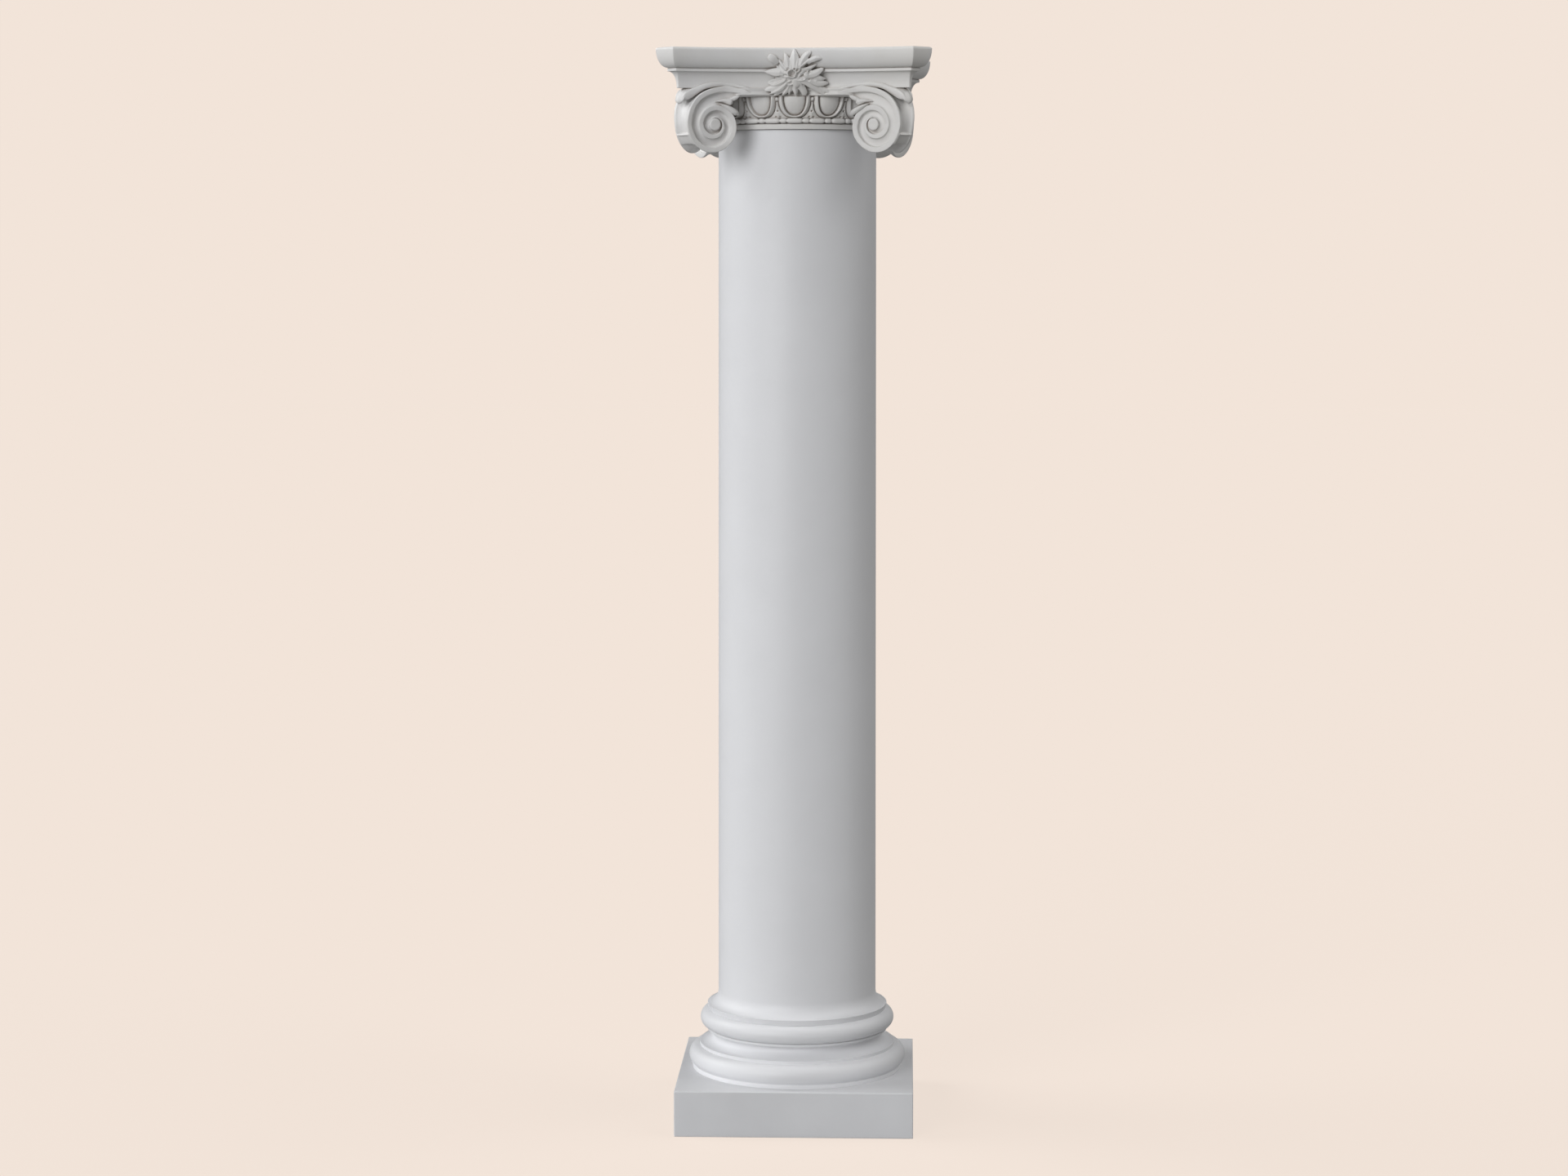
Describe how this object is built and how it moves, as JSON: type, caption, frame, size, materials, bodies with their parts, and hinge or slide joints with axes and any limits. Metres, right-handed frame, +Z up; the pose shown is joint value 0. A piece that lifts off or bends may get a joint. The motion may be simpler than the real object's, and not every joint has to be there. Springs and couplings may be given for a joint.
{
  "type": "ionic column",
  "caption": "Round column with a square plinth, an Attic base, a plain shaft and a diagonal capital with corner volutes, egg-and-dart and a flower on each side.",
  "frame": {"origin": "centre of the plinth's underside, on the floor", "axes": "+Z up the column's axis, -Y out of the side that faces the viewer, +X to that viewer's right"},
  "size_m": [0.505, 0.505, 2.03],
  "materials": {
    "plaster_plinth": "satin white cast plaster, faintly mottled",
    "plaster_base": "satin white cast plaster, faintly mottled",
    "plaster_shaft": "satin white cast plaster, faintly mottled",
    "plaster_capital": "satin white cast plaster, slightly warm in the hollows"
  },
  "bodies": {
    "root": {"plinth": "plaster_plinth", "base": "plaster_base", "shaft": "plaster_shaft", "capital": "plaster_capital"}
  },
  "joints": []
}
